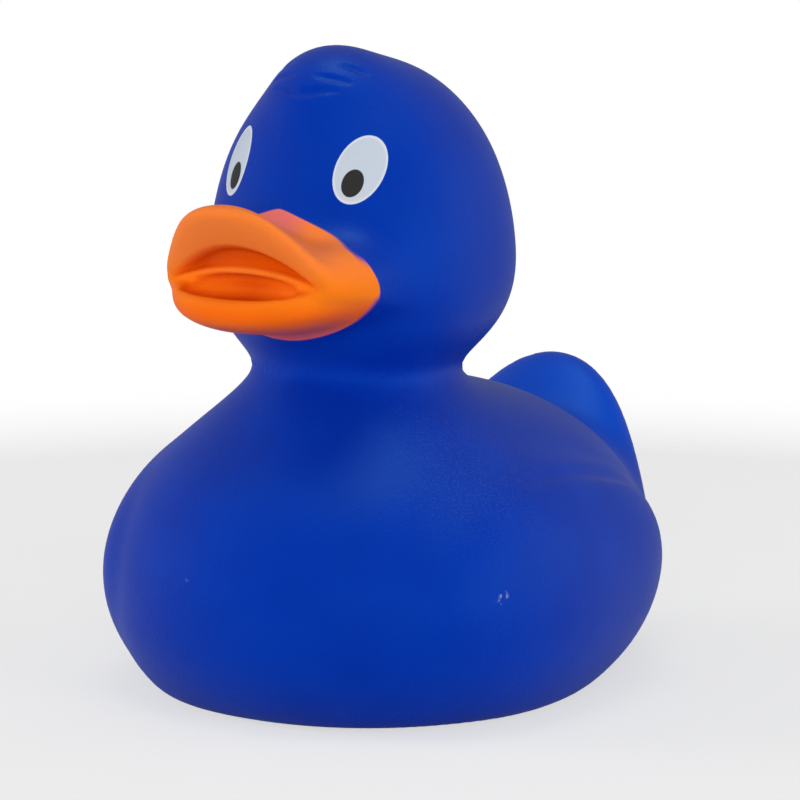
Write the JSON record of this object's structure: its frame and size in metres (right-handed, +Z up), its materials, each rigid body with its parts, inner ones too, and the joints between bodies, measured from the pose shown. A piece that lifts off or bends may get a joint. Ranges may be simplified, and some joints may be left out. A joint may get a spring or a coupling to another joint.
{
  "type": "rubber duck",
  "caption": "Hollow moulded toy duck that stands on its flat base, with an open bill, raised wings and tail, and a squeaker plug in the base.",
  "frame": {"origin": "on the floor plane of the base, under the middle of the duck's bounding box", "axes": "+Z up, the duck looks along -Y, its left side is at +X"},
  "size_m": [0.0672, 0.082, 0.0837],
  "materials": {
    "vinyl": "satin blue soft vinyl, the bill sprayed orange and the eyes printed white and black",
    "plug": "matt white plastic"
  },
  "bodies": {
    "root": {"duck_body": "vinyl", "squeaker": "plug"}
  },
  "joints": []
}
